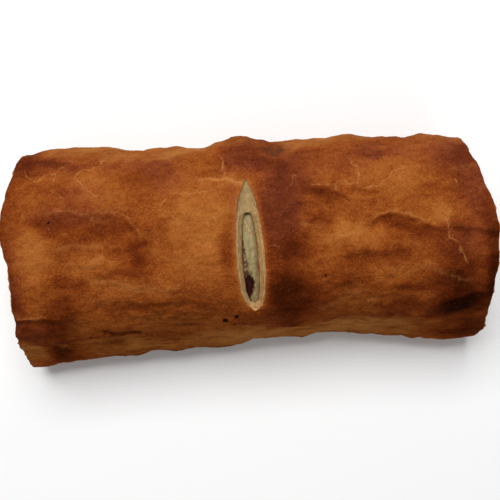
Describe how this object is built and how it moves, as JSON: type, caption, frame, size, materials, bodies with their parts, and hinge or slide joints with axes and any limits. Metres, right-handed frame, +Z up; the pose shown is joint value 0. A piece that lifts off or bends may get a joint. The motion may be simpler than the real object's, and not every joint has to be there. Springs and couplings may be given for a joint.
{
  "type": "sausage roll",
  "caption": "Baked sausage roll: a log of wrinkled golden-brown puff pastry, open at both ends, with a cut across its crown that shows the meat filling.",
  "frame": {"origin": "middle of the base, on the surface that the roll lies on", "axes": "+X along the roll, +Y to its far side, away from the lip along the seam, +Z up through the crown"},
  "size_m": [0.1554, 0.0742, 0.0422],
  "materials": {
    "pastry": "baked puff pastry, wrinkled, satin egg glaze over golden to dark brown; pale layers at its cuts",
    "filling": "cooked coarse sausage meat, moist, greyish beige with fat, crumb and herb flecks"
  },
  "bodies": {
    "root": {"pastry": "pastry", "filling": "filling"}
  },
  "joints": []
}
